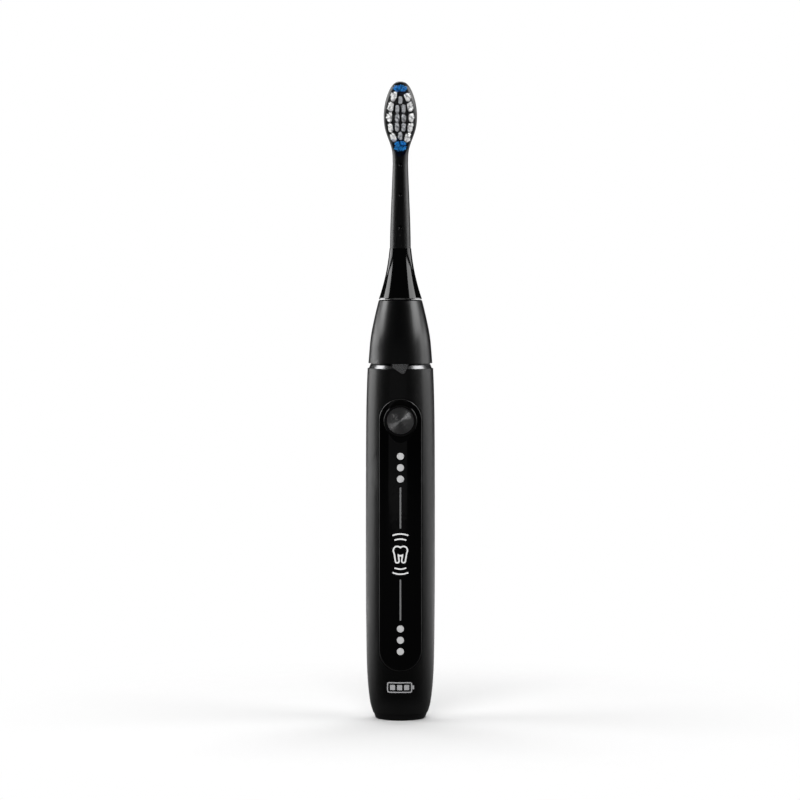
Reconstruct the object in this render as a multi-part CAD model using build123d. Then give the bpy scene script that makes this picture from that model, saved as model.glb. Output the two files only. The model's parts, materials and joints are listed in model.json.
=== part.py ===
"""Sonic electric toothbrush that stands on its own base: handle, drive and pull-off brush head.

The frame is in millimetres. +Z runs up the handle to the brush, the front with the button and the bristles
faces -Y, and the origin is the centre of the base. Every sub-part is written to parts/ as its own STEP file.
"""

import os
from math import cos, radians, sin, sqrt

from build123d import *

# ---------------------------------------------------------------- driving dimensions, mm
TOTAL_HEIGHT = 245.0
HANDLE_R = 13.32  # the widest point of the handle
BASE_R = 9.6  # the flat that it stands on
BASE_JOINT_Z = 2.3  # parting line between bottom cap and housing
HOUSING_TOP_Z = 135.05
COLLAR_BASE_Z = 137.05
COLLAR_TOP_Z = 161.3
COLLAR_TOP_R = 8.25
SKIRT_BASE_Z = 162.05
SKIRT_TOP_Z = 181.1
SKIRT_BASE_R = 8.15
NECK_BASE_R = 4.0
GAP = 0.1  # visible joint between neighbouring covers, each side

# handle shell
BORE_R = 11.2  # room for the inner frame
BASE_BORE_R = 9.25  # room for the bottom cap's spigot
PANEL_HALF_WIDTH = 8.3
PANEL_Z = (19.35, 123.9)
PANEL_THICK = 0.95
PANEL_MID_Z = sum(PANEL_Z) / 2
PANEL_PROUD = 0.22  # how far the panel stands out of the shell round it
PANEL_ROUND = 0.5
POCKET_ROUND = 0.12

# controls
BUTTON_Z = 115.4
BUTTON_R = 5.2
BUTTON_FACE_Y = -12.75
CUP_R = 6.35
CUP_BORE_R = 5.5
CUP_RIM_Y = -12.85
SCOOP_FLOOR_Y = -12.6  # where the dish round the button meets its rim
LIGHT_R = 1.35
LIGHT_PITCH = 4.35
MODE_LIGHT_Z = 97.55  # the middle of the upper three
CHARGE_LIGHT_Z = 31.5  # the middle of the lower three

# circuit board
BOARD_FRONT_Y = -9.2
BOARD_BACK_Y = -8.2
BOARD_HALF_WIDTH = 5.9
BOARD_Z = (20.0, 124.5)

# inner frame
FRAME_R = 11.0
FRAME_WALL = 1.2
FRAME_Z = (17.0, 125.0)
BULKHEADS_Z = ((17.0, 18.5), (73.0, 75.0), (121.0, 123.0))
SCREWS_Z = (74.0, 122.0)

# battery, offset to the back to leave room for the board
BATTERY_R = 7.0
BATTERY_Z = (21.0, 71.0)
BATTERY_Y = 1.8

# motor and drive shaft
MOTOR_R = 7.4
MOTOR_Z = (81.0, 117.0)
STATOR_Z = (88.0, 110.0)
SHAFT_R = 1.5
SHAFT_Z = (77.5, 186.0)
RUNNING_GAP = 0.05
POLES = 4

# charging well and coil
WELL_R = 3.5
WELL_DEPTH = 9.0
WELL_WALL = 1.2
WELL_LEAD_IN = 0.4

# brush head
PLATE_FRONT_Y = -1.55
TUFT_TIP_Y = -12.2
TUFT_FLOOR_Y = 0.6
HEAD_BORE_R = 2.7
SOCKET_Z = (164.5, 187.0)

os.makedirs("parts", exist_ok=True)


# ---------------------------------------------------------------- helpers
def tube(r_in, r_out, z0, z1):
    """A ring about Z."""
    return extrude(Plane.XY.offset(z0) * (Circle(r_out) - Circle(r_in)), z1 - z0)


def disc(r, z0, z1):
    """A solid cylinder about Z."""
    return extrude(Plane.XY.offset(z0) * Circle(r), z1 - z0)


def block(x, y, z):
    """A box from three (low, high) pairs."""
    spans = (x, y, z)
    size = [high - low for low, high in spans]
    middle = [(low + high) / 2 for low, high in spans]
    return Pos(*middle) * Box(*size)


def across(sketch, y0, y1, x=0.0, z=0.0):
    """A sketch drawn as seen from the front, made solid from y0 back to y1."""
    plane = Plane(origin=(x, y1, z), x_dir=(1, 0, 0), z_dir=(0, -1, 0))
    return extrude(plane * sketch, y1 - y0)


def turned(outline):
    """A solid of revolution about Z from a closed outline in (radius, height)."""
    return revolve(Plane.XZ * make_face(outline), Axis.Z)


def ring_of(count, make):
    """Count copies of make(), evenly spaced about Z."""
    return [Rot(0, 0, 360 / count * i) * make() for i in range(count)]


def write(name, *solids):
    """Writes one node from one or more separate solids."""
    flat = []
    for item in solids:
        flat.extend(item.solids())
    shape = flat[0] if len(flat) == 1 else Compound(flat)
    export_step(shape, f"parts/{name}.step")


def slot_face(half_width, z_low, z_high):
    """A stadium standing upright, centred on its own middle."""
    return Rot(0, 0, 90) * SlotOverall(z_high - z_low, 2 * half_width)


# ---------------------------------------------------------------- outer shapes
def housing_points(inset=0.0):
    """The handle's side, bottom to top, moved in by inset."""
    side = [
        (10.55, BASE_JOINT_Z),
        (11.45, 5.2),
        (12.17, 9.8),
        (12.74, 16.5),
        (13.08, 27.0),
        (HANDLE_R, 62.0),
        (HANDLE_R - 0.02, 90.0),
        (13.19, 112.0),
        (12.98, 125.0),
        (12.6, HOUSING_TOP_Z),
    ]
    return [(r - inset, z) for r, z in side]


def housing_body(inset=0.0):
    """The handle's outer form as a solid, moved in by inset."""
    side = housing_points(inset)
    edges = Spline(*side) + Polyline(side[-1], (0, side[-1][1]), (0, side[0][1]), side[0])
    return turned(edges)


def make_housing():
    """The one-piece shell, open at both ends, with a pocket for the panel and holes for the controls."""
    top_z = HOUSING_TOP_Z + 1
    side = [(BASE_BORE_R, 0), (BASE_BORE_R, 10), (BORE_R, 15), (BORE_R, top_z)]
    wall_in = Polyline((0, 0), *side, (0, top_z), (0, 0))
    pocket = across(slot_face(PANEL_HALF_WIDTH, *PANEL_Z), -20, -2, z=PANEL_MID_Z)
    shell = housing_body() - (pocket - housing_body(PANEL_THICK))
    shell = fillet(panel_rim(shell), POCKET_ROUND) - turned(wall_in)
    shell -= across(Circle(CUP_R + 0.02), -20, -5, z=BUTTON_Z)
    for z in light_heights():
        shell -= across(Circle(LIGHT_R + 0.02), -20, -5, z=z)
    notch = offset(pointer_face(), GAP)
    shell -= across(notch, -20, -5)
    return shell


def make_front_panel():
    """The glossy inlay: a curved sheet as thick as its pocket is deep."""
    outline = slot_face(PANEL_HALF_WIDTH - GAP, PANEL_Z[0] + GAP, PANEL_Z[1] - GAP)
    blank = across(outline, -20, -2, z=PANEL_MID_Z)
    dish = Cone(CUP_R, CUP_R + 2.3, 0.95, align=(Align.CENTER, Align.CENTER, Align.MIN))
    panel = (blank & housing_body(-PANEL_PROUD)) - housing_body(PANEL_THICK)
    panel = fillet(panel_rim(panel), PANEL_ROUND)
    panel -= across(Circle(CUP_R + 0.02), -20, -5, z=BUTTON_Z)
    panel -= Plane(origin=(0, SCOOP_FLOOR_Y, BUTTON_Z), x_dir=(1, 0, 0), z_dir=(0, -1, 0)) * dish
    for z in light_heights():
        panel -= across(Circle(LIGHT_R + 0.02), -20, -5, z=z)
    return panel


def panel_rim(solid):
    """The edges where the pocket, or the panel in it, meets the handle's surface."""

    def at_surface(edge):
        middle = edge @ 0.5
        is_outside = sqrt(middle.X**2 + middle.Y**2) > HANDLE_R - PANEL_THICK / 2 - 0.1
        return middle.Y < -5 and middle.Z < 130 and is_outside

    return solid.edges().filter_by(GeomType.BSPLINE).filter_by(at_surface)


def light_heights():
    """The heights of all six status lights."""
    return [middle + LIGHT_PITCH * step for middle in (MODE_LIGHT_Z, CHARGE_LIGHT_Z) for step in (-1, 0, 1)]


# ---------------------------------------------------------------- trim ring and pointer
POINTER_HALF_WIDTH = 3.15
POINTER_SHOULDER_Z = 135.65
POINTER_TIP = (1.1, 133.4)  # it leans to the right


def pointer_face():
    """The downward pointer on the trim ring, seen from the front: one sloping flank and one steep one."""
    tip_x, tip_z = POINTER_TIP
    top_z = COLLAR_BASE_Z - 0.05
    half = POINTER_HALF_WIDTH
    left = (tip_x - 1.2, tip_z + 0.35)
    right = (tip_x + 0.7, tip_z + 0.4)
    tip = ThreePointArc(left, (tip_x, tip_z), right)
    rest = Polyline(right, (half, top_z), (-half, top_z), (0.15 - half, POINTER_SHOULDER_Z), left)
    return make_face(tip + rest)


def make_trim_ring():
    """The bright sloping ring between housing and collar, with a pointer over the housing's edge."""
    z0, z1 = HOUSING_TOP_Z + 0.05, COLLAR_BASE_Z - 0.05
    r_in, foot_r, head_r = 10.95, 12.1, 11.25
    side = ThreePointArc((foot_r, z0), ((foot_r + head_r) / 2 + 0.04, (z0 + z1) / 2), (head_r, z1))
    band = turned(side + Polyline((head_r, z1), (r_in, z1), (r_in, z0), (foot_r, z0)))
    low_z = POINTER_TIP[1] - 1
    back_r = BORE_R + 0.2
    outline = Polyline((back_r, low_z), (12.8, low_z), (12.6, z1), (back_r, z1), (back_r, low_z))
    pointer = across(pointer_face(), -20, -5) & turned(outline)
    return band + pointer


# ---------------------------------------------------------------- collar, seals and bottom cap
def make_collar():
    """The tapered top cover, with a spigot that plugs into the housing."""
    side = Spline(
        (12.28, COLLAR_BASE_Z),
        (11.9, 142.0),
        (11.42, 146.8),
        (10.46, 152.1),
        (9.36, 157.0),
        (COLLAR_TOP_R + 0.1, COLLAR_TOP_Z - 0.3),
    )
    lip = Polyline(
        (COLLAR_TOP_R + 0.1, COLLAR_TOP_Z - 0.3),
        (COLLAR_TOP_R - 0.3, COLLAR_TOP_Z),
        (3.6, COLLAR_TOP_Z),
        (3.6, 157.6),
        (6.6, 157.6),
        (9.6, 141.5),
        (9.6, 126.5),
        (10.9, 126.5),
        (10.9, COLLAR_BASE_Z),
        (12.28, COLLAR_BASE_Z),
    )
    groove = tube(10.3, 12, 129.4, 130.9)
    return turned(side + lip) - groove


def make_collar_seal():
    """The O-ring in the collar spigot's groove, squeezed against the housing's bore."""
    return Pos(0, 0, 130.15) * tube_ring(10.3, BORE_R, 1.3)


def tube_ring(r_in, r_out, height):
    """A ring centred on Z=0 with rounded edges, as a squeezed O-ring."""
    ring = tube(r_in, r_out, -height / 2, height / 2)
    return fillet(ring.edges(), (r_out - r_in) * 0.35)


def make_shaft_seal():
    """The rubber boot that closes the collar round the shaft."""
    outline = Polyline(
        (SHAFT_R + RUNNING_GAP, 156.2),
        (5.6, 156.2),
        (5.6, 157.6),
        (3.6, 157.6),
        (3.6, COLLAR_TOP_Z),
        (4.2, COLLAR_TOP_Z),
        (4.2, COLLAR_TOP_Z + 0.5),
        (2.9, COLLAR_TOP_Z + 1.1),
        (2.1, 164.0),
        (SHAFT_R + RUNNING_GAP, 164.0),
        (SHAFT_R + RUNNING_GAP, 156.2),
    )
    return turned(outline)


def make_bottom_cap():
    """The base cap: a flat foot round the charging well, and a spigot with a seal groove."""
    outline = Polyline(
        (WELL_R + WELL_LEAD_IN, 0),
        (BASE_R - 0.35, 0),
        (BASE_R + 0.05, 0.35),
        (10.3, BASE_JOINT_Z - 0.15),
        (10.1, BASE_JOINT_Z),
        (9.2, BASE_JOINT_Z),
        (9.2, 12),
        (8.0, 12),
        (8.0, 1.8),
        (WELL_R + WELL_WALL, 1.8),
        (WELL_R + WELL_WALL, WELL_DEPTH + WELL_WALL),
        (0, WELL_DEPTH + WELL_WALL),
        (0, WELL_DEPTH),
        (WELL_R, WELL_DEPTH),
        (WELL_R, WELL_LEAD_IN),
        (WELL_R + WELL_LEAD_IN, 0),
    )
    return turned(outline) - tube(8.5, 9.5, 6.0, 7.6)


def make_bottom_seal():
    """The O-ring between bottom cap and housing."""
    return Pos(0, 0, 6.8) * tube_ring(8.5, BASE_BORE_R, 1.4)


# ---------------------------------------------------------------- charging receiver
def make_coil_bobbin():
    """The winding former round the charging well."""
    r = WELL_R + WELL_WALL + 0.05
    return tube(r, r + 0.55, 2.0, 9.7) + tube(r, 7.6, 2.0, 2.7) + tube(r, 7.6, 9.0, 9.7)


def make_ferrite_plate():
    """The ferrite disc over the coil."""
    return disc(6.2, WELL_DEPTH + WELL_WALL, 11.6)


def wire(points, corner_radii, radius=0.4):
    """A short insulated lead along straight runs joined by arcs."""
    path = FilletPolyline(*points, radius=corner_radii)
    start = Plane(origin=path @ 0, z_dir=path % 0)
    return sweep(start * Circle(radius), path)


def make_coil_leads():
    """Two leads from the coil up to the foot of the board."""
    y_board = BOARD_FRONT_Y - 0.42
    route = [(-7.1, 9.75), (-7.1, 12.2), (y_board, 15.4), (y_board, 22.5)]
    return [wire([(x, y, z) for y, z in route], [1.6, 1.6]) for x in (-1.4, 1.4)]


# ---------------------------------------------------------------- inner frame, board and battery
def make_inner_frame():
    """The frame for motor, battery and board: a half shell with bulkheads, rails and screw bosses."""
    shell = tube(FRAME_R - FRAME_WALL, FRAME_R, *FRAME_Z) & block((-20, 20), (-3, 20), FRAME_Z)
    front_cut = block((-20, 20), (BOARD_BACK_Y, 20), (0, 200))
    frame = shell
    for z0, z1 in BULKHEADS_Z:
        frame += disc(FRAME_R - FRAME_WALL + 0.2, z0, z1) & front_cut
    for side in (-1, 1):
        x = sorted((side * 5.0, side * 6.6))
        frame += block(x, (BOARD_BACK_Y, -7.0), (FRAME_Z[0], BULKHEADS_Z[-1][1]))
    for z in SCREWS_Z:
        frame += across(Circle(1.9), BOARD_BACK_Y, -2.6, z=z)
    for z in SCREWS_Z:
        frame -= across(Circle(0.8), -9, -3.4, z=z)
    frame -= disc(3.2, 120, 126)
    for z in (28.0, 46.0, 64.0):
        cradle = tube(BATTERY_R + 0.05, 14, z - 0.8, z + 0.8)
        behind = disc(FRAME_R - 0.5, z - 1, z + 1) & block((-20, 20), (2.5, 20), (0, 200))
        frame += (Pos(0, BATTERY_Y, 0) * cradle) & behind
    return frame


def make_circuit_board():
    """The long board behind the front panel."""
    board = block((-BOARD_HALF_WIDTH, BOARD_HALF_WIDTH), (BOARD_FRONT_Y, BOARD_BACK_Y), BOARD_Z)
    for z in SCREWS_Z:
        board -= across(Circle(0.9), -12, -8, z=z)
    return fillet(board.edges().filter_by(Axis.Y).filter_by(lambda e: abs(e.center().X) > 5), 0.8)


def make_board_screws():
    """Two self-tapping screws that hold the board to the frame."""
    screws = []
    for z in SCREWS_Z:
        head = across(Circle(1.5), BOARD_FRONT_Y - 0.8, BOARD_FRONT_Y, z=z)
        head -= across(Rectangle(0.35, 1.8), BOARD_FRONT_Y - 0.9, BOARD_FRONT_Y - 0.35, z=z)
        head -= across(Rectangle(1.8, 0.35), BOARD_FRONT_Y - 0.9, BOARD_FRONT_Y - 0.35, z=z)
        screws.append(head + across(Circle(0.75), BOARD_FRONT_Y, -3.8, z=z))
    return screws


def make_board_chips():
    """The controller, the charger chip and two power transistors, on the board's back."""
    places = [(0, 47, 2.5, 2.5, 0.9), (0, 58, 2.0, 1.6, 1.0), (-3, 66, 1.0, 1.5, 0.9), (3, 66, 1.0, 1.5, 0.9)]
    return [
        block((x - half_x, x + half_x), (BOARD_BACK_Y, BOARD_BACK_Y + high), (z - half_z, z + half_z))
        for x, z, half_x, half_z, high in places
    ]


def make_board_passives():
    """Small capacitors and resistors in two rows, and a coil of the charging circuit."""
    small = []
    for x in (-3.8, 3.8):
        for step in range(6):
            z = 30 + 4.5 * step
            small.append(block((x - 0.4, x + 0.4), (BOARD_BACK_Y, BOARD_BACK_Y + 0.6), (z - 0.8, z + 0.8)))
    small.append(across(Circle(2.2), BOARD_BACK_Y, BOARD_BACK_Y + 2.0, z=38))
    return small


def make_lights(middle):
    """Three surface-mount lights on the board's front."""
    made = []
    for step in (-1, 0, 1):
        z = middle + LIGHT_PITCH * step
        made.append(block((-0.8, 0.8), (BOARD_FRONT_Y - 0.8, BOARD_FRONT_Y), (z - 0.5, z + 0.5)))
    return made


def make_light_guide(middle):
    """One clear moulding: three posts that end flush with the panel, joined by a bar behind the shell."""
    guide = block((-1.6, 1.6), (-10.85, -10.1), (middle - LIGHT_PITCH - 2, middle + LIGHT_PITCH + 2))
    outer = housing_body(-PANEL_PROUD)
    for step in (-1, 0, 1):
        guide += across(Circle(LIGHT_R), -20, -10.5, z=middle + LIGHT_PITCH * step) & outer
    return guide


def make_battery_cell():
    """The rechargeable cell: can with a shouldered rim and a raised pole."""
    cell = Pos(0, BATTERY_Y, 0) * disc(BATTERY_R, BATTERY_Z[0], BATTERY_Z[1] - 0.8)
    cell = fillet(cell.edges().filter_by(GeomType.CIRCLE), 0.5)
    return cell + Pos(0, BATTERY_Y, 0) * disc(2.9, BATTERY_Z[1] - 0.9, BATTERY_Z[1])


def make_battery_tab(z0, z1):
    """A welded nickel strip from the cell's end to the board."""
    return block((-2, 2), (BOARD_BACK_Y, 4.5), (z0, z1))


def make_battery_pad():
    """The foam pad that takes up play under the cell."""
    return Pos(0, BATTERY_Y, 0) * disc(6.0, BULKHEADS_Z[0][1], BATTERY_Z[0] - 0.2)


# ---------------------------------------------------------------- button
def make_button_cup():
    """The bezel cup that guides the button and closes the shell behind it."""
    cup = across(Circle(CUP_R), CUP_RIM_Y, -10.4, z=BUTTON_Z)
    cup = fillet(cup.edges().filter_by(GeomType.CIRCLE).sort_by(Axis.Y)[0], 0.45)
    cup -= across(Circle(CUP_BORE_R), -20, -11.0, z=BUTTON_Z)
    return cup - across(Circle(2.3), -12, -10, z=BUTTON_Z)


def make_power_button():
    """The turned metal cap of the button."""
    cap = across(Circle(BUTTON_R), BUTTON_FACE_Y, -11.95, z=BUTTON_Z)
    rim = cap.edges().filter_by(GeomType.CIRCLE).sort_by(Axis.Y)[0]
    return chamfer(rim, 0.18)


def make_button_stem():
    """The plastic stem bonded under the cap."""
    flange = across(Circle(4.8), -11.95, -11.55, z=BUTTON_Z)
    return flange + across(Circle(1.6), -11.55, -10.95, z=BUTTON_Z)


def make_button_seal():
    """The rubber ring in the cup's floor that wipes the stem."""
    return across(Circle(2.3) - Circle(1.66), -11.0, -10.5, z=BUTTON_Z)


def make_tact_switch():
    """The switch on the board, with a well for its plunger."""
    body = block((-2, 2), (-10.3, BOARD_FRONT_Y), (BUTTON_Z - 2, BUTTON_Z + 2))
    return body - across(Circle(1.1), -11, -9.35, z=BUTTON_Z)


def make_switch_plunger():
    """The switch's plunger, which the stem pushes."""
    return across(Circle(1.0), -10.95, -9.95, z=BUTTON_Z)


# ---------------------------------------------------------------- motor
def make_motor_can():
    """The steel can."""
    return tube(MOTOR_R - 0.5, MOTOR_R, *MOTOR_Z)


def make_motor_cap(inner_z, outer_z, boss_z):
    """An end cap: a plate in the can's end and a boss that holds the bearing."""
    low, high = sorted((inner_z, outer_z))
    boss_low, boss_high = sorted((outer_z, boss_z))
    return tube(2.5, MOTOR_R - 0.5, low, high) + tube(2.5, 3.5, boss_low, boss_high)


def make_bearing(z0, z1):
    """A sintered bush with a running fit on the shaft."""
    return tube(SHAFT_R + RUNNING_GAP, 2.5, z0, z1)


def make_stator_core():
    """The laminated ring with inward poles."""
    core = tube(6.0, MOTOR_R - 0.5, *STATOR_Z)
    for pole in ring_of(POLES, lambda: block((3.9, 6.4), (-1.2, 1.2), STATOR_Z)):
        core += pole
    return core


def make_stator_coils():
    """One winding round each pole."""
    low, high = STATOR_Z

    def coil():
        outer = block((4.2, 5.5), (-2.05, 2.05), (low - 1.2, high + 1.2))
        return outer - block((4, 6), (-1.25, 1.25), (low - 0.05, high + 0.05))

    return ring_of(POLES, coil)


def make_rotor_core():
    """The iron sleeve pressed on the shaft."""
    return tube(SHAFT_R, 2.5, *STATOR_Z)


def make_rotor_magnets():
    """One curved magnet per pole, bonded on the core."""
    span = radians(78)
    reach = 10.0
    corners = [(0, 0)] + [(reach * cos(a), reach * sin(a)) for a in (-span / 2, 0, span / 2)] + [(0, 0)]
    wedge = make_face(Polyline(*corners))
    sector = extrude(Plane.XY.offset(STATOR_Z[0]) * wedge, STATOR_Z[1] - STATOR_Z[0])
    return ring_of(POLES, lambda: tube(2.5, 3.6, *STATOR_Z) & sector)


def make_return_spring():
    """The torsion spring that centres the rotor, coiled round the shaft."""
    helix = Helix(pitch=0.75, height=2.4, radius=2.2, center=(0, 0, 111.4))
    start = Plane(origin=helix @ 0, z_dir=helix % 0)
    return sweep(start * Circle(0.22), helix, is_frenet=True)


def make_drive_shaft():
    """The oscillating shaft: round in the motor, with a clip groove and a flat where the head plugs on."""
    shaft = disc(SHAFT_R, *SHAFT_Z)
    shaft = chamfer(shaft.edges().filter_by(GeomType.CIRCLE), 0.3)
    shaft -= block((-3, 3), (1.0, 3), (167, 190))
    shaft -= tube(1.2, 3, 78.3, 79.1)
    return shaft


def make_shaft_clip():
    """The retaining clip under the rear bearing, open on one side."""
    return tube(1.2, 2.7, 78.35, 79.05) - block((-0.9, 0.9), (-4, 0), (78, 80))


def make_motor_damper(z0, z1):
    """A rubber saddle between motor and inner frame."""
    return tube(MOTOR_R, FRAME_R - FRAME_WALL, z0, z1) & block((-20, 20), (-6.8, 20), (z0, z1))


def make_motor_leads():
    """Two leads from the motor's rear cap to the board's back."""
    y_board = BOARD_BACK_Y + 0.42
    route = [(-5.4, 80.95), (-5.4, 79.2), (y_board, 77.6), (y_board, 75.5)]
    return [wire([(x, y, z) for y, z in route], [0.8, 0.8]) for x in (-1.5, 1.5)]


# ---------------------------------------------------------------- brush head
NECK_SIDE = [(NECK_BASE_R, SKIRT_TOP_Z), (3.79, 190.9), (3.45, 199.8), (3.11, 208.2), (2.93, 213.7)]
PLATE_SECTIONS = [
    # height, half width, half depth
    (213.7, 2.93, 2.93),
    (217.0, 3.03, 2.82),
    (220.2, 3.62, 2.72),
    (223.2, 4.7, 2.64),
    (226.4, 5.78, 2.58),
    (229.6, 6.32, 2.52),
    (232.8, 6.36, 2.46),
    (236.0, 5.98, 2.38),
    (239.0, 5.22, 2.24),
    (241.4, 4.3, 2.02),
    (243.2, 3.25, 1.7),
    (244.4, 2.05, 1.2),
    (TOTAL_HEIGHT, 0.8, 0.5),
]
DIMPLES = [(213.0, 2.95), (201.5, 3.38), (189.1, 3.84)]  # height, neck radius there


def make_head_body():
    """Neck and plate in one moulding: round at the skirt, flattening to an oval plate with a flat front."""
    neck_top = NECK_SIDE[-1][1]
    neck = turned(Spline(*NECK_SIDE) + Polyline(NECK_SIDE[-1], (0, neck_top), (0, SKIRT_TOP_Z), NECK_SIDE[0]))
    body = neck + loft([Plane.XY.offset(z) * Ellipse(half_x, half_y) for z, half_x, half_y in PLATE_SECTIONS])
    foot, front = (-2.6, 216.2), [(PLATE_FRONT_Y, 219.2), (PLATE_FRONT_Y, 250)]
    ramp = Polyline(foot, *front, (-9, 250), (-9, 216.2), foot)
    body -= extrude(Plane.YZ * make_face(ramp), 10, both=True)
    body += tube(HEAD_BORE_R, 3.2, 166, SKIRT_TOP_Z)
    body -= disc(HEAD_BORE_R, 160, 188)
    for z, neck_r in DIMPLES:
        body -= Pos(0, -neck_r - 0.35, z) * Sphere(0.85)
    for x, z, half_x, half_z, turn in tuft_places():
        body -= across(tuft_face(half_x + 0.02, half_z + 0.02, turn), -3, TUFT_FLOOR_Y, x=x, z=z)
    return body


OUTER_TUFTS = [
    (-2.5, 238.75, -24),
    (-3.55, 234.9, -9),
    (-4.05, 230.9, 0),
    (-3.7, 227.0, 8),
    (-2.6, 223.25, 20),
]
INNER_PAIRS = [(side, z) for z in (234.2, 230.7, 227.2) for side in (-1.2, 1.2)]
INNER_TUFTS = [(0.0, 237.7), *INNER_PAIRS, (0.0, 223.9)]
END_TUFTS = [(0.0, 241.8, 2.1, 0.85, 0), (0.0, 219.95, 1.9, 1.45, 0)]
OUTER_HALF = (0.88, 1.62)
INNER_HALF = (0.8, 1.5)


def outer_places():
    """The ten tufts round the rim, as (x, z, half width, half height, turn in degrees)."""
    return [(side * x, z, *OUTER_HALF, side * turn) for x, z, turn in OUTER_TUFTS for side in (1, -1)]


def inner_places():
    """The eight tufts inside the rim."""
    return [(x, z, *INNER_HALF, 0) for x, z in INNER_TUFTS]


def tuft_places():
    """Every tuft."""
    return outer_places() + inner_places() + END_TUFTS


def tuft_face(half_x, half_z, turn):
    """The rounded outline of a tuft and of its hole, seen from the front."""
    return Rot(0, 0, turn) * RectangleRounded(2 * half_x, 2 * half_z, min(half_x, half_z) * 0.95)


def make_tufts(places, tip_y):
    """Closed solids for bundles of bristles, each split at its foot by the anchor that holds it."""
    made = []
    for x, z, half_x, half_z, turn in places:
        tuft = across(tuft_face(half_x, half_z, turn), tip_y, TUFT_FLOOR_Y, x=x, z=z)
        made.append(tuft - anchor(x, z))
    return made


def anchor(x, z):
    """The metal strip that pins one tuft's fold at the bottom of its hole."""
    return block((x - 0.55, x + 0.55), (TUFT_FLOOR_Y - 1.4, TUFT_FLOOR_Y), (z - 0.15, z + 0.15))


def make_skirt():
    """The glossy flared foot of the head, hollow over the shaft seal."""
    side = ThreePointArc((SKIRT_BASE_R, SKIRT_BASE_Z), (5.9, 170.0), (NECK_BASE_R + 0.14, SKIRT_TOP_Z))
    rest = Polyline(
        (NECK_BASE_R + 0.14, SKIRT_TOP_Z),
        (3.2, SKIRT_TOP_Z),
        (3.2, 169.5),
        (4.6, 169.5),
        (5.4, 165.8),
        (6.75, SKIRT_BASE_Z),
        (SKIRT_BASE_R, SKIRT_BASE_Z),
    )
    return turned(side + rest)


def make_head_ring():
    """The bright ring at the skirt's foot."""
    z0 = COLLAR_TOP_Z + 0.25
    return tube(6.75, SKIRT_BASE_R + 0.06, z0, SKIRT_BASE_Z)


def make_head_socket():
    """The insert that grips the shaft, with a flat in its bore and a slot for the spring clip."""
    bore_r = SHAFT_R + 0.03
    bore = disc(bore_r, 160, 186.4) - block((-3, 3), (1.03, 3), (167, 190))
    socket = disc(HEAD_BORE_R, *SOCKET_Z) - bore
    return socket - tube(1.9, 3, 175, 177)


def make_socket_clip():
    """The spring ring in the socket's slot, open at the front."""
    return tube(1.95, 2.65, 175.1, 176.9) - block((-1.2, 1.2), (-4, 0), (170, 180))


# ---------------------------------------------------------------- write every node
write("housing", make_housing())
write("front_panel", make_front_panel())
write("trim_ring", make_trim_ring())
write("collar", make_collar())
write("collar_seal", make_collar_seal())
write("shaft_seal", make_shaft_seal())
write("bottom_cap", make_bottom_cap())
write("bottom_seal", make_bottom_seal())

write("coil_bobbin", make_coil_bobbin())
write("charging_coil", tube(5.3, 7.3, 2.7, 9.0))
write("ferrite_plate", make_ferrite_plate())
write("coil_leads", *make_coil_leads())

write("inner_frame", make_inner_frame())
write("circuit_board", make_circuit_board())
write("board_screws", *make_board_screws())
write("board_chips", *make_board_chips())
write("board_passives", *make_board_passives())
write("mode_lights", *make_lights(MODE_LIGHT_Z))
write("charge_lights", *make_lights(CHARGE_LIGHT_Z))
write("mode_light_guide", make_light_guide(MODE_LIGHT_Z))
write("charge_light_guide", make_light_guide(CHARGE_LIGHT_Z))
write("battery_cell", make_battery_cell())
write("battery_tab_top", make_battery_tab(BATTERY_Z[1], BATTERY_Z[1] + 0.2))
write("battery_tab_bottom", make_battery_tab(BATTERY_Z[0] - 0.2, BATTERY_Z[0]))
write("battery_pad", make_battery_pad())

write("button_cup", make_button_cup())
write("button_seal", make_button_seal())
write("tact_switch", make_tact_switch())
write("power_button", make_power_button())
write("button_stem", make_button_stem())
write("switch_plunger", make_switch_plunger())

write("motor_can", make_motor_can())
write("motor_front_cap", make_motor_cap(MOTOR_Z[1] - 2, MOTOR_Z[1], 119.5))
write("motor_rear_cap", make_motor_cap(MOTOR_Z[0] + 2, MOTOR_Z[0], 79.5))
write("front_bearing", make_bearing(MOTOR_Z[1] - 2, 119.5))
write("rear_bearing", make_bearing(79.5, MOTOR_Z[0] + 2))
write("stator_core", make_stator_core())
write("stator_coils", *make_stator_coils())
write("return_spring", make_return_spring())
write("motor_damper_front", make_motor_damper(111.5, 115.0))
write("motor_damper_rear", make_motor_damper(83.0, 86.5))
write("motor_leads", *make_motor_leads())

write("drive_shaft", make_drive_shaft())
write("rotor_core", make_rotor_core())
write("rotor_magnets", *make_rotor_magnets())
write("shaft_clip", make_shaft_clip())

write("head_body", make_head_body())
write("head_skirt", make_skirt())
write("head_ring", make_head_ring())
write("head_socket", make_head_socket())
write("socket_clip", make_socket_clip())
write("outer_tufts", *make_tufts(outer_places(), TUFT_TIP_Y))
write("inner_tufts", *make_tufts(inner_places(), TUFT_TIP_Y + 1.0))
write("end_tufts", *make_tufts(END_TUFTS, TUFT_TIP_Y + 0.3))
write("tuft_anchors", *[anchor(place[0], place[1]) for place in tuft_places()])
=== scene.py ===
"""Looks for the electric toothbrush: a finish for every part, real bristles, and a plain studio round it."""

import json
import math
import random

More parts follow.
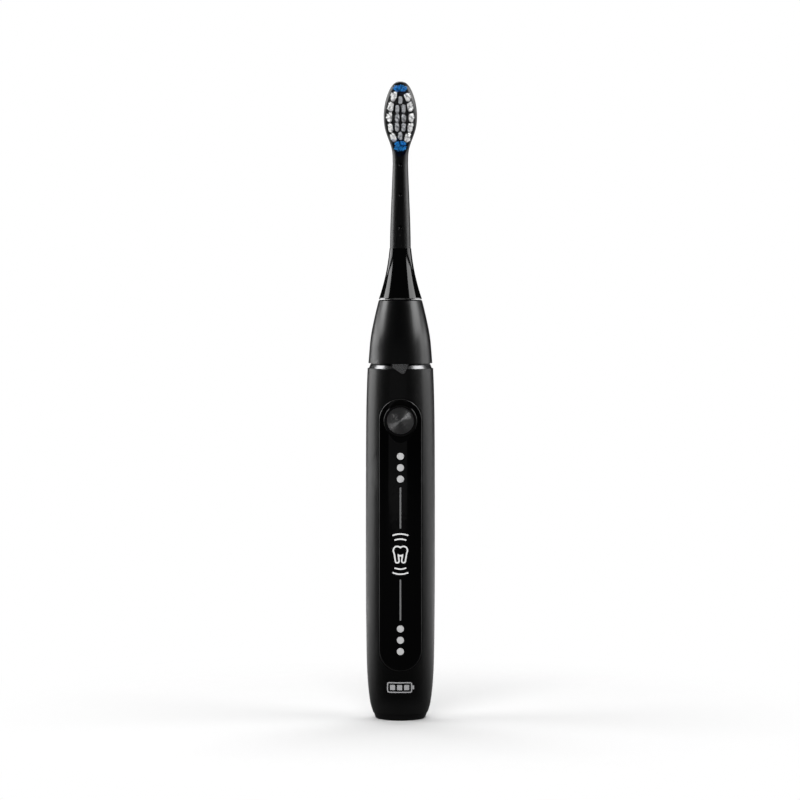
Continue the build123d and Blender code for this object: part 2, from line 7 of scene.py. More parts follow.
import bpy
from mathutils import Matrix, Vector


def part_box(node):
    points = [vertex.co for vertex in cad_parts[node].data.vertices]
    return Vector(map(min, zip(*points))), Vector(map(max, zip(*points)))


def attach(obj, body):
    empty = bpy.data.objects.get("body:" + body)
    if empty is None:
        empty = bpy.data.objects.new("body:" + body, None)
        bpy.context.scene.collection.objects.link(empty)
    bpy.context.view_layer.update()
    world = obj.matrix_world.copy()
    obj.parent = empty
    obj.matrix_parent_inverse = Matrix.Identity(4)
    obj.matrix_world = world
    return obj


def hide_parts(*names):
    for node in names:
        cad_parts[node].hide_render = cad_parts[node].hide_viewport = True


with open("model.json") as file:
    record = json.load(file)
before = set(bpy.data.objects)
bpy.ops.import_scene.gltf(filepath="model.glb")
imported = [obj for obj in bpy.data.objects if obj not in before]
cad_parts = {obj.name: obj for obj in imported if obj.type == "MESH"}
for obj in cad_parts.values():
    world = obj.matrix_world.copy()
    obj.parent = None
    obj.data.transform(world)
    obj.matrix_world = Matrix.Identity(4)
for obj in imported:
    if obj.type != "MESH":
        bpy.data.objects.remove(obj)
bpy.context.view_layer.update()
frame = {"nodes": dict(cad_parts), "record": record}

MM = 0.001
NODES = frame["nodes"]
SCENE = bpy.context.scene


# ---------------------------------------------------------------- material building
class Finish:
    """A material being built: its shader, the place on the part in millimetres, and ways to add nodes."""

    def __init__(self, name, **shader_values):
        self.material = bpy.data.materials.new(name)
        self.material.use_nodes = True
        self.tree = self.material.node_tree
        self.shader = self.tree.nodes["Principled BSDF"]
        for socket, value in shader_values.items():
            self.shader.inputs[socket.replace("_", " ")].default_value = value
        where = self.node("ShaderNodeTexCoord").outputs["Object"]
        scale = self.node("ShaderNodeVectorMath", operation="SCALE")
        scale.inputs["Scale"].default_value = 1 / MM
        self.join(where, scale.inputs[0])
        self.place = scale.outputs[0]
        self._axes = None

    def node(self, kind, **settings):
        made = self.tree.nodes.new(kind)
        for key, value in settings.items():
            setattr(made, key, value)
        return made

    def join(self, source, target):
        if isinstance(source, (int, float)):
            target.default_value = source
        else:
            self.tree.links.new(source, target)

    def math(self, operation, *values):
        """One Math node; values are numbers or sockets."""
        made = self.node("ShaderNodeMath", operation=operation)
        for index, value in enumerate(values):
            self.join(value, made.inputs[index])
        return made.outputs[0]

    def axes(self):
        """The x, y and z sockets, in millimetres."""
        if self._axes is None:
            split = self.node("ShaderNodeSeparateXYZ")
            self.join(self.place, split.inputs[0])
            self._axes = tuple(split.outputs)
        return self._axes

    def stretched(self, stretch):
        """The place, scaled by a factor along each axis."""
        made = self.node("ShaderNodeVectorMath", operation="MULTIPLY")
        self.join(self.place, made.inputs[0])
        made.inputs[1].default_value = stretch
        return made.outputs[0]

    def noise(self, size_mm, detail=2.0, stretch=(1, 1, 1)):
        """Noise with features of about size_mm, from 0 to 1."""
        made = self.node("ShaderNodeTexNoise")
        self.join(self.place if stretch == (1, 1, 1) else self.stretched(stretch), made.inputs["Vector"])
        made.inputs["Scale"].default_value = 1 / size_mm
        made.inputs["Detail"].default_value = detail
        return made.outputs["Fac"]

    def cells(self, size_mm, stretch=(1, 1, 1)):
        """Voronoi distance, 0 in the middle of each cell."""
        made = self.node("ShaderNodeTexVoronoi")
        self.join(self.stretched(stretch), made.inputs["Vector"])
        made.inputs["Scale"].default_value = 1 / size_mm
        return made.outputs["Distance"]

    def bands(self, pitch_mm, axis):
        """Round-topped bands along an axis, for wound wire and stacked sheets."""
        angle = self.math("MULTIPLY", self.axes()["XYZ".index(axis)], 2 * math.pi / pitch_mm)
        return self.math("MULTIPLY_ADD", self.math("SINE", angle), 0.5, 0.5)

    def between(self, factor, low, high):
        """A number from low to high as factor goes from 0 to 1."""
        made = self.node("ShaderNodeMapRange", clamp=True)
        self.join(factor, made.inputs["Value"])
        made.inputs["To Min"].default_value = low
        made.inputs["To Max"].default_value = high
        return made.outputs["Result"]

    def blend(self, factor, first, second):
        """A colour between two colours or colour sockets."""
        made = self.node("ShaderNodeMix", data_type="RGBA")
        self.join(factor, made.inputs["Factor"])
        for index, value in ((6, first), (7, second)):
            if isinstance(value, (tuple, list)):
                made.inputs[index].default_value = (*value[:3], 1)
            else:
                self.tree.links.new(value, made.inputs[index])
        return made.outputs[2]

    def set(self, socket, source):
        self.join(source, self.shader.inputs[socket])

    def bump(self, height, depth_mm):
        """Adds relief of depth_mm to the surface, on top of any relief that is already there."""
        made = self.node("ShaderNodeBump")
        made.inputs["Distance"].default_value = depth_mm * MM
        self.join(height, made.inputs["Height"])
        normal = self.shader.inputs["Normal"]
        if normal.is_linked:
            self.join(normal.links[0].from_socket, made.inputs["Normal"])
        self.join(made.outputs[0], normal)


def tinted(colour, factor):
    return tuple(min(1.0, channel * factor) for channel in colour)


# ---------------------------------------------------------------- finishes
SATIN_GRAIN_MM = 0.16
SATIN_GRAIN_DEPTH_MM = 0.002
SATIN_UNEVENNESS = 0.03


def satin(name, colour, roughness=0.3, specular=0.5):
    """Plastic with a very fine bead-blast grain, a little uneven in sheen."""
    f = Finish(name, Specular_IOR_Level=specular)
    drift = f.noise(14.0, 3.0)
    f.set("Base Color", f.blend(drift, tinted(colour, 0.9), tinted(colour, 1.12)))
    low, high = roughness - SATIN_UNEVENNESS, roughness + SATIN_UNEVENNESS
    f.set("Roughness", f.between(f.noise(3.0, 4.0), low, high))
    f.bump(f.noise(SATIN_GRAIN_MM, 3.0), SATIN_GRAIN_DEPTH_MM)
    return f


def gloss(name, colour, roughness=0.07):
    """Polished plastic: faint flow marks and hairline scratches in its sheen."""
    f = Finish(name)
    f.set("Base Color", f.blend(f.noise(20.0), tinted(colour, 0.85), tinted(colour, 1.15)))
    hairs = f.noise(0.5, 4.0, stretch=(3.0, 3.0, 0.12))
    f.set("Roughness", f.between(hairs, roughness * 0.6, roughness * 1.5))
    f.bump(f.noise(9.0, 1.0), 0.004)
    return f


def rubber(name, colour):
    """Matt rubber with small pits."""
    f = Finish(name, Specular_IOR_Level=0.35)
    f.set("Base Color", f.blend(f.noise(4.0, 3.0), tinted(colour, 0.7), tinted(colour, 1.3)))
    f.set("Roughness", f.between(f.noise(0.8, 3.0), 0.62, 0.85))
    f.bump(f.cells(0.35), 0.02)
    return f


def metal(name, colour, roughness, stretch=(1, 1, 1), depth_mm=0.003):
    """Metal whose brushing runs along the axis with the smallest stretch."""
    f = Finish(name, Metallic=1.0)
    streaks = f.noise(0.25, 4.0, stretch=stretch)
    f.set("Base Color", f.blend(f.noise(6.0, 3.0), tinted(colour, 0.9), tinted(colour, 1.08)))
    f.set("Roughness", f.between(streaks, roughness * 0.75, roughness * 1.3))
    f.bump(streaks, depth_mm)
    return f


POINTER_STEP_MM = 0.25


def trim(name, colour, pointer_colour):
    """Softly polished metal. The pointer, which stands out past the ring, is brighter."""
    f = metal(name, colour, 0.27)
    x, y, _ = f.axes()
    radius = f.math("SQRT", f.math("ADD", f.math("MULTIPLY", x, x), f.math("MULTIPLY", y, y)))
    ring_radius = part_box("trim_ring")[1][0] / MM
    raised = f.math("GREATER_THAN", radius, ring_radius + POINTER_STEP_MM)
    ring = f.shader.inputs["Base Color"].links[0].from_socket
    f.set("Base Color", f.blend(raised, ring, pointer_colour))
    return f


def spun(name, colour):
    """Metal turned on a lathe: its tangents run in circles about the part's Y axis."""
    f = Finish(name, Metallic=1.0, Anisotropic=0.9, Anisotropic_Rotation=0.25)
    circles = f.node("ShaderNodeTangent", direction_type="RADIAL", axis="Y")
    f.join(circles.outputs[0], f.shader.inputs["Tangent"])
    f.set("Base Color", f.blend(f.noise(2.0, 3.0), tinted(colour, 0.88), tinted(colour, 1.12)))
    f.set("Roughness", f.between(f.noise(0.3, 4.0), 0.45, 0.56))
    return f


def wound(name, colour, pitch_mm, axis):
    """Enamelled wire laid side by side, its colour darkened in the grooves between turns as painted shade.
    """
    f = Finish(name, Metallic=0.85)
    wire_relief_and_groove_shade = f.bands(pitch_mm, axis)
    # Painted shade: the colour darkens towards the grooves between turns of wire.
    f.set("Base Color", f.blend(wire_relief_and_groove_shade, tinted(colour, 0.45), tinted(colour, 1.1)))
    f.set("Roughness", f.between(f.noise(0.7, 3.0), 0.25, 0.4))
    f.bump(wire_relief_and_groove_shade, 0.08)
    return f


SHEET_PITCH_MM = 0.35


def stacked(name, colour):
    """Thin sheets stacked along Z, with painted shade in the gaps between them."""
    f = Finish(name, Metallic=0.9)
    sheets = f.bands(SHEET_PITCH_MM, "Z")
    # Painted shade: the colour darkens towards the gaps between the sheets.
    f.set("Base Color", f.blend(sheets, tinted(colour, 0.6), tinted(colour, 1.1)))
    f.set("Roughness", f.between(f.noise(1.5, 3.0), 0.35, 0.55))
    f.bump(sheets, 0.03)
    return f


def board(name, colour):
    """Solder mask over copper tracks."""
    f = Finish(name, Roughness=0.35)
    tracks = f.node("ShaderNodeTexVoronoi", feature="DISTANCE_TO_EDGE", distance="CHEBYCHEV")
    f.join(f.place, tracks.inputs["Vector"])
    tracks.inputs["Scale"].default_value = 0.45
    line = f.math("LESS_THAN", tracks.outputs["Distance"], 0.07)
    f.set("Base Color", f.blend(line, colour, tinted(colour, 1.9)))
    f.bump(line, 0.03)
    return f


def milky(name, colour):
    """Translucent diffusing plastic."""
    f = Finish(
        name,
        Roughness=0.28,
        Subsurface_Weight=0.6,
        Subsurface_Scale=0.8 * MM,
        Subsurface_Radius=(1, 1, 1),
    )
    f.set("Base Color", f.blend(f.noise(0.9, 3.0), tinted(colour, 0.94), tinted(colour, 1.03)))
    f.bump(f.noise(0.4, 2.0), 0.006)
    return f


PALE_TIP_MM = 3.0


def nylon(name, colour, tip_colour=None):
    """Bristle filaments, a little different from one to the next, and paler at the rounded tips."""
    f = Finish(
        name,
        Roughness=0.38,
        Subsurface_Weight=0.1,
        Subsurface_Scale=0.3 * MM,
        Subsurface_Radius=(1, 1, 1),
    )
    each = f.noise(0.25, 1.0, stretch=(1, 0.05, 1))
    body = f.blend(each, tinted(colour, 0.86), tinted(colour, 1.08))
    tip_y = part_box("outer_tufts")[0][1] / MM
    near_tip = f.node("ShaderNodeMapRange", clamp=True)
    f.join(f.axes()[1], near_tip.inputs["Value"])
    near_tip.inputs["From Min"].default_value = tip_y + PALE_TIP_MM
    near_tip.inputs["From Max"].default_value = tip_y
    f.set("Base Color", f.blend(near_tip.outputs["Result"], body, tip_colour or tinted(colour, 1.1)))
    return f


# ---------------------------------------------------------------- printed marks, and the panel's painted edge highlight
PRINT_SOFTNESS_MM = 0.06
FRONT_Y_MM = -5.0


class MarkShapes:
    """The printed marks, and the panel's painted edge highlight, as distances, in millimetres, from the
    outline of each shape. Negative is inside.
    """

    def __init__(self, finish, middle_z):
        self.f = finish
        self.x, self.y, z = finish.axes()
        self.z = finish.math("SUBTRACT", z, middle_z)
        self.ax = finish.math("ABSOLUTE", self.x)
        self.az = finish.math("ABSOLUTE", self.z)

    def length(self, a, b):
        m = self.f.math
        return m("SQRT", m("ADD", m("MULTIPLY", a, a), m("MULTIPLY", b, b)))

    def disc(self, px, pz, x, z, r):
        m = self.f.math
        return m("SUBTRACT", self.length(m("SUBTRACT", px, x), m("SUBTRACT", pz, z)), r)

    def box(self, px, pz, x, z, half_x, half_z, r):
        """A rounded rectangle."""
        m = self.f.math
        out_x = m("MAXIMUM", m("SUBTRACT", m("ABSOLUTE", m("SUBTRACT", px, x)), half_x - r), 0.0)
        out_z = m("MAXIMUM", m("SUBTRACT", m("ABSOLUTE", m("SUBTRACT", pz, z)), half_z - r), 0.0)
        return m("SUBTRACT", self.length(out_x, out_z), r)

    def capsule(self, px, pz, start, end, r):
        """A thick line from start to end."""
        m = self.f.math
        (x0, z0), (x1, z1) = start, end
        dx, dz = x1 - x0, z1 - z0
        rx, rz = m("SUBTRACT", px, x0), m("SUBTRACT", pz, z0)
        along = m("DIVIDE", m("ADD", m("MULTIPLY", rx, dx), m("MULTIPLY", rz, dz)), dx * dx + dz * dz)
        along = m("MINIMUM", m("MAXIMUM", along, 0.0), 1.0)
        near_x = m("SUBTRACT", rx, m("MULTIPLY", along, dx))
        near_z = m("SUBTRACT", rz, m("MULTIPLY", along, dz))
        return m("SUBTRACT", self.length(near_x, near_z), r)

    def stroke(self, distance, width):
        """The outline of a shape, as a line of that width."""
        m = self.f.math
        return m("SUBTRACT", m("ABSOLUTE", distance), width / 2)

    def union(self, *distances):
        joined = distances[0]
        for distance in distances[1:]:
            joined = self.f.math("MINIMUM", joined, distance)
        return joined

    def mask(self, distance):
        """1 on the marks and 0 off them, on the front of the part only."""
        m = self.f.math
        inside = self.f.node("ShaderNodeMath", operation="MULTIPLY_ADD", use_clamp=True)
        self.f.join(distance, inside.inputs[0])
        inside.inputs[1].default_value = -1 / PRINT_SOFTNESS_MM
        inside.inputs[2].default_value = 0.5
        return m("MULTIPLY", inside.outputs[0], m("LESS_THAN", self.y, FRONT_Y_MM))


def ink(finish, mask, colour, roughness=0.45):
    """Lays a colour over what the shader has so far: print, and on the panel also a painted highlight."""
    below = finish.shader.inputs["Base Color"].links[0].from_socket
    finish.set("Base Color", finish.blend(mask, below, colour))
    rough = finish.shader.inputs["Roughness"]
    under = rough.links[0].from_socket
    made = finish.node("ShaderNodeMix", data_type="FLOAT")
    finish.join(mask, made.inputs["Factor"])
    finish.join(under, made.inputs[2])
    made.inputs[3].default_value = roughness
    finish.join(made.outputs[0], rough)


def tooth_and_waves(marks):
    """A generic pictogram: the outline of a tooth, with two sound waves above and two below."""
    line_width = 0.55
    wave_radii = (5.75, 7.7)
    wave_spread = 0.42
    m = marks.f.math
    crown = marks.disc(marks.ax, marks.z, 1.2, 1.45, 1.5)
    middle = marks.disc(marks.x, marks.z, 0.0, 0.9, 1.5)
    root = marks.capsule(marks.ax, marks.z, (1.75, 1.0), (1.2, -2.6), 0.72)
    tooth = m("SMOOTH_MIN", m("SMOOTH_MIN", crown, root, 0.5), middle, 0.7)
    outline = marks.stroke(tooth, line_width)
    from_centre = marks.length(marks.x, marks.z)
    wedge = m("SUBTRACT", marks.ax, m("MULTIPLY", marks.az, wave_spread))
    rings = [marks.stroke(m("SUBTRACT", from_centre, r), line_width) for r in wave_radii]
    waves = [m("MAXIMUM", ring, wedge) for ring in rings]
    return marks.union(outline, *waves)


def battery_sign(marks):
    """A generic pictogram: a battery lying on its side, three bars full."""
    case = marks.stroke(marks.box(marks.x, marks.z, -0.3, 0.0, 4.6, 1.85, 0.6), 0.42)
    pole = marks.box(marks.x, marks.z, 4.9, 0.0, 0.35, 0.75, 0.2)
    bars = [marks.box(marks.x, marks.z, x - 0.3, 0.0, 0.95, 1.0, 0.15) for x in (-2.7, 0.0, 2.7)]
    return marks.union(case, pole, *bars)


LINE_HALF_LENGTH = 7.9
LINE_HALF_WIDTH = 0.31
LINE_TO_LIGHTS = 1.15
PANEL_HIGHLIGHT_INSET = 0.14
PANEL_HIGHLIGHT_WIDTH = 0.24
BATTERY_SIGN_Z = 13.2


def panel_print_and_painted_highlight(colour):
    """The glossy panel with a faint painted highlight round its edge, its two thin lines and the tooth
    pictogram between them.
    """
    f = gloss("panel_print_and_painted_highlight", colour)
    panel, upper, lower = (
        [corner[2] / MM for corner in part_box(node)]
        for node in ("front_panel", "mode_light_guide", "charge_light_guide")
    )
    middle = (lower[1] + upper[0]) / 2
    marks = MarkShapes(f, middle)
    line_z = (upper[0] - lower[1]) / 2 - LINE_HALF_LENGTH - LINE_TO_LIGHTS
    lines = marks.box(marks.x, marks.az, 0.0, line_z, LINE_HALF_WIDTH, LINE_HALF_LENGTH, 0.3)
    # The rim is a painted highlight: a matt line a little lighter than the panel, standing in for the light
    # its edge catches.
    half_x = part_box("front_panel")[1][0] / MM - PANEL_HIGHLIGHT_INSET
    half_z = (panel[1] - panel[0]) / 2 - PANEL_HIGHLIGHT_INSET
    panel_z = (panel[0] + panel[1]) / 2 - middle
    rim = marks.stroke(marks.box(marks.x, marks.z, 0.0, panel_z, half_x, half_z, half_x), PANEL_HIGHLIGHT_WIDTH)
    ink(f, marks.mask(rim), (0.008, 0.008, 0.008), 0.3)
    ink(f, marks.mask(lines), (0.08, 0.08, 0.081))
    ink(f, marks.mask(tooth_and_waves(marks)), (0.4, 0.4, 0.4))
    return f


def printed_housing(colour):
    """The satin shell with the battery pictogram under the panel."""
    f = satin("printed_housing", colour, specular=0.85)
    marks = MarkShapes(f, BATTERY_SIGN_Z)
    ink(f, marks.mask(battery_sign(marks)), (0.19, 0.19, 0.194))
    return f


# ---------------------------------------------------------------- a finish for every slot
SATIN_BLACK = (0.0003, 0.0003, 0.00033)
GLOSS_BLACK = (0.0004, 0.0004, 0.00044)

FINISHES = {
    "satin_black": satin("satin_black", SATIN_BLACK, specular=0.85),
    "gloss_black": gloss("gloss_black", GLOSS_BLACK),
    "dark_chrome": metal("dark_chrome", (0.42, 0.42, 0.43), 0.13),
    "bright_chrome": metal("bright_chrome", (0.5, 0.5, 0.51), 0.24),
    "spun_metal": spun("spun_metal", (0.75, 0.75, 0.755)),
    "diffuser": milky("diffuser", (0.3, 0.3, 0.3)),
    "seal_rubber": rubber("seal_rubber", (0.02, 0.02, 0.02)),
    "foam": rubber("foam", (0.09, 0.09, 0.09)),
    "frame_plastic": satin("frame_plastic", (0.6, 0.6, 0.58), 0.5),
    "board": board("board", (0.02, 0.16, 0.07)),
    "chip_black": satin("chip_black", (0.03, 0.03, 0.03), 0.6),
    "ceramic": satin("ceramic", (0.42, 0.33, 0.24), 0.55),
    "led": milky("led", (0.9, 0.86, 0.6)),
    "battery_wrap": gloss("battery_wrap", (0.05, 0.2, 0.42), 0.25),
    "nickel": metal("nickel", (0.68, 0.66, 0.62), 0.3, (1, 0.1, 1)),
    "steel": metal("steel", (0.56, 0.56, 0.57), 0.25, (1, 1, 0.08)),
    "motor_cap": satin("motor_cap", (0.08, 0.08, 0.08), 0.5),
    "bronze": metal("bronze", (0.6, 0.42, 0.22), 0.4, depth_mm=0.02),
    "lamination": stacked("lamination", (0.34, 0.34, 0.36)),
    "copper": wound("copper", (0.78, 0.34, 0.16), 0.3, "Z"),
    "ferrite": satin("ferrite", (0.06, 0.06, 0.065), 0.7),
    "magnet": metal("magnet", (0.5, 0.5, 0.51), 0.3),
    "lead_red": rubber("lead_red", (0.5, 0.03, 0.02)),
    "socket_plastic": satin("socket_plastic", (0.28, 0.28, 0.29), 0.5),
    "bristle_white": nylon("bristle_white", (0.97, 0.975, 0.98)),
    "bristle_grey": nylon("bristle_grey", (0.55, 0.56, 0.58)),
    "bristle_blue": nylon("bristle_blue", (0.008, 0.09, 0.38), (0.04, 0.38, 0.86)),
}


def paint(piece, finish):
    piece.data.materials.clear()
    piece.data.materials.append(finish.material)


def paint_nodes():
    """Gives every CAD node the finish of its slot, and the printed parts and the trim ring their own; the
    panel's also has a painted edge highlight.
    """
    for part in frame["record"]["subparts"]:
        paint(NODES[part["node"]], FINISHES[part["material_slot"]])
    paint(NODES["front_panel"], panel_print_and_painted_highlight(GLOSS_BLACK))
    paint(NODES["housing"], printed_housing(SATIN_BLACK))
    paint(NODES["trim_ring"], trim("trim_metal", (0.23, 0.23, 0.235), (0.75, 0.75, 0.76)))


# ---------------------------------------------------------------- mesh helpers
def new_piece(name, vertices, faces, body, slot_name):
    """A smooth mesh piece that rides on a body and takes its finish from a slot."""
    mesh = bpy.data.meshes.new(name)
    mesh.from_pydata(vertices, [], faces)
    mesh.validate()
    mesh.polygons.foreach_set("use_smooth", [True] * len(mesh.polygons))
    piece = bpy.data.objects.new(name, mesh)
    SCENE.collection.objects.link(piece)
    paint(piece, FINISHES[slot_name])
    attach(piece, body)
    return piece


def islands(node):
    """The separate solids of a CAD node, each as a list of its vertices' places."""
    mesh = NODES[node].data
    keys = {}
    leader = list(range(len(mesh.vertices)))

    def find(i):
        while leader[i] != i:
            leader[i] = leader[leader[i]]
            i = leader[i]
        return i

    for vertex in mesh.vertices:
        key = tuple(round(c / MM, 4) for c in vertex.co)
        leader[find(vertex.index)] = find(keys.setdefault(key, vertex.index))
    for edge in mesh.edges:
        leader[find(edge.vertices[0])] = find(edge.vertices[1])
    groups = {}
    for vertex in mesh.vertices:
        groups.setdefault(find(vertex.index), []).append(vertex.co.copy())
    return sorted(groups.values(), key=lambda g: (round(g[0].z, 5), g[0].x))


# ---------------------------------------------------------------- bristles
FILAMENT_R = 0.11 * MM
FILAMENT_PITCH = 0.225 * MM
FILAMENT_SIDES = 5
ROOT_DEPTH = 0.9 * MM
ROW_RATIO = 0.866
JITTER = 0.03
GATHER = 0.4
LEAN_SPREAD = 0.14


def outline_at_tip(points):
    """The convex outline, in X and Z, of a tuft's end face."""
    tip = min(p.y for p in points)
    flat = sorted({(p.x, p.z) for p in points if p.y < tip + 0.05 * MM})

    def half(ordered):
        hull = []
        for p in ordered:
            while len(hull) > 1 and cross(hull[-2], hull[-1], p) <= 0:
                hull.pop()
            hull.append(p)
        return hull[:-1]

    return half(flat) + half(flat[::-1])


def cross(a, b, c):
    return (b[0] - a[0]) * (c[1] - a[1]) - (b[1] - a[1]) * (c[0] - a[0])


def depth_inside(outline, x, z):
    """How far a point is inside a convex outline; negative outside."""
    depth = 1.0
    for a, b in zip(outline, outline[1:] + outline[:1]):
        depth = min(depth, cross(a, b, (x, z)) / math.dist(a, b))
    return depth


def filament(vertices, faces, root, tip, lean):
    """Adds one bristle: a thin tube that leans more towards its rounded tip."""
    first = len(vertices)
    length = tip - root.y
    dome = FILAMENT_R / abs(length)
    rings = ((0.0, 1.0), (0.5, 1.0), (1 - dome, 1.0), (1 - dome * 0.35, 0.85), (1.0, 0.4))
    for part, thickness in rings:
        centre = Vector((root.x + lean[0] * part**2, root.y + length * part, root.z + lean[1] * part**2))
        for side in range(FILAMENT_SIDES):
            angle = 2 * math.pi * side / FILAMENT_SIDES
            r = FILAMENT_R * thickness
            vertices.append((centre.x + r * math.cos(angle), centre.y, centre.z + r * math.sin(angle)))
    for ring in range(len(rings) - 1):
        for side in range(FILAMENT_SIDES):
            a = first + ring * FILAMENT_SIDES + side
            b = first + ring * FILAMENT_SIDES + (side + 1) % FILAMENT_SIDES
            faces.append((a, b, b + FILAMENT_SIDES, a + FILAMENT_SIDES))
    last = first + (len(rings) - 1) * FILAMENT_SIDES
    faces.append(tuple(range(last, last + FILAMENT_SIDES))[::-1])
    faces.append(tuple(range(first, first + FILAMENT_SIDES)))


def filament_places(outline, middle, size, rng):
    """Places on a triangular grid, each a little off, that lie inside a tuft's outline."""
    columns = int(size[0] / FILAMENT_PITCH) + 2
    rows = int(size[1] / (FILAMENT_PITCH * ROW_RATIO)) + 2
    for row in range(-rows // 2, rows // 2 + 1):
        for column in range(-columns // 2, columns // 2 + 1):
            x = middle[0] + (column + 0.5 * (row % 2)) * FILAMENT_PITCH + rng.uniform(-JITTER, JITTER) * MM
            z = middle[1] + row * FILAMENT_PITCH * ROW_RATIO + rng.uniform(-JITTER, JITTER) * MM
            if depth_inside(outline, x, z) >= FILAMENT_R * 0.5:
                yield x, z


def make_bristles(node, slot_name, splay, ragged, clump_count, outward, seed):
    """Replaces a node's tufts with bundles of single filaments that gather in clumps at their tips."""
    rng = random.Random(seed)
    vertices, faces = [], []
    for points in islands(node):
        outline = outline_at_tip(points)
        tip_y = min(p.y for p in points)
        root_y = max(p.y for p in points) - ROOT_DEPTH
        xs, zs = [p[0] for p in outline], [p[1] for p in outline]
        middle = ((min(xs) + max(xs)) / 2, (min(zs) + max(zs)) / 2)
        size = (max(xs) - min(xs), max(zs) - min(zs))
        off_centre = abs(middle[0]) > MM
        side = Vector((math.copysign(outward, middle[0]) if off_centre else 0.0, 0.0)) * MM
        clumps = [(rng.uniform(min(xs), max(xs)), rng.uniform(min(zs), max(zs))) for _ in range(clump_count)]
        for x, z in filament_places(outline, middle, size, rng):
            nearest = min(clumps, key=lambda c: math.dist(c, (x, z)))
            gather = Vector((nearest[0] - x, nearest[1] - z)) * GATHER
            out = Vector((x - middle[0], z - middle[1])) * splay
            stray = Vector((rng.gauss(0, LEAN_SPREAD), rng.gauss(0, LEAN_SPREAD))) * MM
            end = tip_y + abs(rng.gauss(0, ragged)) * MM
            filament(vertices, faces, Vector((x, root_y, z)), end, out + gather + side + stray)
    piece = new_piece(f"{node}_filaments", vertices, faces, "brush_head", slot_name)
    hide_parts(node)


# ---------------------------------------------------------------- the turned button
GROOVE_PITCH = 0.13 * MM
GROOVE_DEPTH = 0.004 * MM
BUTTON_DOME = 0.35 * MM
BUTTON_EDGE = 0.16 * MM
BUTTON_SEGMENTS = 96


def make_button():
    """The button's cap as turned metal: fine concentric grooves on a face that is domed very slightly."""
    low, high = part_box("power_button")
    centre_z = (low[2] + high[2]) / 2
    radius = (high[0] - low[0]) / 2
    flat_radius = radius - BUTTON_EDGE
    count = int(flat_radius / GROOVE_PITCH)
    profile = []
    for i in range(1, count + 1):
        r = flat_radius * i / count
        profile.append((r, low[1] + BUTTON_DOME * (r / radius) ** 2 + GROOVE_DEPTH * (i % 2)))
    rim_y = low[1] + BUTTON_DOME
    profile.append((radius - BUTTON_EDGE * 0.3, rim_y + BUTTON_EDGE * 0.3))
    profile.append((radius, rim_y + BUTTON_EDGE))
    profile.append((radius, high[1]))
    segments = BUTTON_SEGMENTS
    vertices = [(0.0, low[1], centre_z)]
    for r, y in profile:
        for k in range(segments):
            angle = 2 * math.pi * k / segments
            vertices.append((r * math.cos(angle), y, centre_z + r * math.sin(angle)))
    faces = [(0, 1 + k, 1 + (k + 1) % segments) for k in range(segments)]
    for ring in range(len(profile) - 1):
        for k in range(segments):
            a = 1 + ring * segments + k
            b = 1 + ring * segments + (k + 1) % segments
            faces.append((a, a + segments, b + segments, b))
    last = 1 + (len(profile) - 1) * segments
    faces.append(tuple(range(last, last + segments))[::-1])
    piece = new_piece("turned_button", vertices, faces, "button", "spun_metal")
    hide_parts("power_button")


# ---------------------------------------------------------------- studio
FLOOR_HALF = 6.0


def make_floor():
    """A plain pale floor that fades into the white background, and can be seen through from below.

    The camera sees it lit near the brush and pure white further out. For light that bounces, the floor is
    darker, most of all in front, so that it doesn't grey the black handle from below.
    """
    corners = [(-1, -1), (1, -1), (1, 1), (-1, 1)]
    mesh = bpy.data.meshes.new("floor")
    mesh.from_pydata([(x * FLOOR_HALF, y * FLOOR_HALF, 0) for x, y in corners], [], [(0, 1, 2, 3)])
    floor = bpy.data.objects.new("floor", mesh)
    SCENE.collection.objects.link(floor)
    material = bpy.data.materials.new("floor")
    material.use_nodes = True
    tree = material.node_tree
    tree.nodes.clear()

    def node(kind, **settings):
        made = tree.nodes.new(kind)
        for key, value in settings.items():
            setattr(made, key, value)
        return made

    def ramp(source, start, end, low, high, interpolation="LINEAR"):
        """Goes from low to high as the source goes from start to end."""
        made = node("ShaderNodeMapRange", interpolation_type=interpolation)
        for socket, value in (("From Min", start), ("From Max", end), ("To Min", low), ("To Max", high)):
            made.inputs[socket].default_value = value
        tree.links.new(source, made.inputs["Value"])
        return made.outputs["Result"]

    def mixed(factor, first, second):
        made = node("ShaderNodeMixShader")
        for index, source in enumerate((factor, first, second)):
            tree.links.new(source, made.inputs[index])
        return made.outputs[0]

    where = node("ShaderNodeTexCoord").outputs["Object"]
    length = node("ShaderNodeVectorMath", operation="LENGTH")
    tree.links.new(where, length.inputs[0])
    distance = length.outputs["Value"]
    split = node("ShaderNodeSeparateXYZ")
    tree.links.new(where, split.inputs[0])

    lit = node("ShaderNodeBsdfDiffuse")
    lit.inputs["Color"].default_value = (0.6, 0.6, 0.6, 1)
    white = node("ShaderNodeEmission")
    white.inputs["Strength"].default_value = 1.0
    seen = mixed(ramp(distance, 0.06, 0.2, 0.0, 1.0, "SMOOTHERSTEP"), lit.outputs[0], white.outputs[0])

    albedo = node("ShaderNodeMath", operation="MAXIMUM")
    tree.links.new(ramp(split.outputs["Y"], -0.02, 0.25, 0.012, 0.5), albedo.inputs[0])
    tree.links.new(ramp(distance, 0.02, 0.04, 0.06, 0.0), albedo.inputs[1])
    dark = node("ShaderNodeBsdfDiffuse")
    tree.links.new(albedo.outputs[0], dark.inputs["Color"])

    from_camera = node("ShaderNodeLightPath").outputs["Is Camera Ray"]
    above = mixed(from_camera, dark.outputs[0], seen)
    clear = node("ShaderNodeBsdfTransparent")
    from_below = node("ShaderNodeNewGeometry").outputs["Backfacing"]
    surface = mixed(from_below, above, clear.outputs[0])
    tree.links.new(surface, node("ShaderNodeOutputMaterial").inputs["Surface"])
    floor.data.materials.append(material)


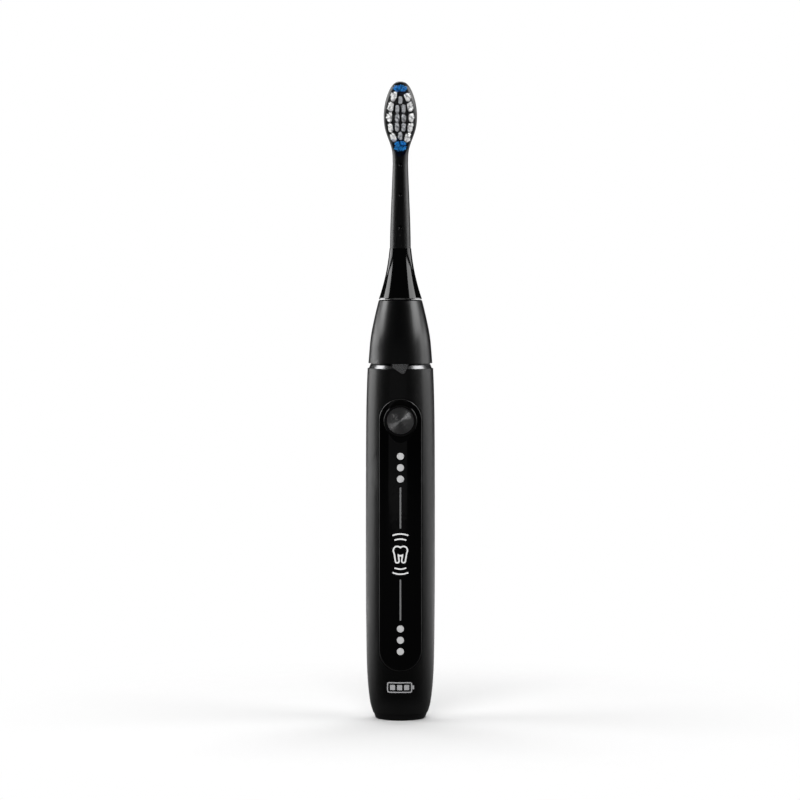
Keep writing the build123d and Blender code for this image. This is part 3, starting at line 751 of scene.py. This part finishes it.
def make_world():
    """White to the camera, and a dim even room to everything else."""
    world = bpy.data.worlds.new("studio")
    SCENE.world = world
    world.use_nodes = True
    tree = world.node_tree
    room = tree.nodes["Background"]
    room.inputs["Color"].default_value = (0.015, 0.015, 0.0155, 1)
    backdrop = tree.nodes.new("ShaderNodeBackground")
    backdrop.inputs["Color"].default_value = (1, 1, 1, 1)
    path = tree.nodes.new("ShaderNodeLightPath")
    mix = tree.nodes.new("ShaderNodeMixShader")
    tree.links.new(path.outputs["Is Camera Ray"], mix.inputs["Fac"])
    tree.links.new(room.outputs[0], mix.inputs[1])
    tree.links.new(backdrop.outputs[0], mix.inputs[2])
    tree.links.new(mix.outputs[0], tree.nodes["World Output"].inputs["Surface"])


LIGHTS_AIM = Vector((0, 0, 0.12))


def softbox(name, azimuth, elevation, distance, size, radiance, gloss=True):
    """A rectangular light. Azimuth 0 is the camera's side and 90 is to its right; radiance 1 looks white."""
    az, el = math.radians(azimuth), math.radians(elevation)
    away = Vector((math.sin(az) * math.cos(el), -math.cos(az) * math.cos(el), math.sin(el)))
    data = bpy.data.lights.new(name, "AREA")
    data.shape = "RECTANGLE"
    data.size, data.size_y = size
    data.energy = radiance * math.pi * size[0] * size[1]
    light = bpy.data.objects.new(name, data)
    light.location = LIGHTS_AIM + away * distance
    light.rotation_euler = away.to_track_quat("Z", "Y").to_euler()
    light.visible_camera = False
    light.visible_glossy = gloss
    SCENE.collection.objects.link(light)


def make_lights():
    """Low, middle and high boxes on both sides for the long highlights, a dim card in front, a high box
    behind, and a frontal fill that reflections don't show."""
    softbox("left_low", -118, 0, 1.4, (1.15, 0.22), 1.35)
    softbox("left_mid", -112, 8.5, 1.4, (1.0, 0.2), 3.3)
    softbox("left_high", -92, 30, 1.3, (0.7, 0.66), 5.0)
    softbox("right_low", 108, 0, 1.4, (1.3, 0.22), 0.65)
    softbox("right_mid", 102, 8.5, 1.4, (1.1, 0.2), 2.4)
    softbox("right_high", 79, 30, 1.3, (0.9, 0.66), 4.2)
    softbox("front_card", -8.5, -0.5, 0.9, (1.06, 0.22), 0.075)
    softbox("behind", 180, 62, 1.5, (1.3, 0.8), 7.0)
    softbox("front_fill", -10, 8, 1.4, (1.2, 0.9), 15.0, gloss=False)


CAMERA_X = -0.15 * MM
CAMERA_EYE = Vector((CAMERA_X, -1.288, 0.181))
CAMERA_AIM = Vector((CAMERA_X, 0, 0.12278))


def make_camera():
    """A long lens 1.29 m in front of the brush and higher than its middle, looking slightly down."""
    data = bpy.data.cameras.new("camera")
    data.sensor_width = 36
    data.lens = 150.79
    data.clip_start = 0.05
    camera = bpy.data.objects.new("camera", data)
    SCENE.collection.objects.link(camera)
    camera.location = CAMERA_EYE
    camera.rotation_euler = (CAMERA_AIM - CAMERA_EYE).to_track_quat("-Z", "Y").to_euler()
    SCENE.camera = camera


SCENE.view_settings.view_transform = "Standard"
make_camera()
make_world()
make_lights()
make_floor()
paint_nodes()
make_button()
make_bristles("outer_tufts", "bristle_white", splay=0.18, ragged=0.25, clump_count=5, outward=0.2, seed=11)
make_bristles("inner_tufts", "bristle_grey", splay=0.06, ragged=0.4, clump_count=4, outward=0.0, seed=12)
make_bristles("end_tufts", "bristle_blue", splay=0.4, ragged=0.5, clump_count=7, outward=0.0, seed=13)
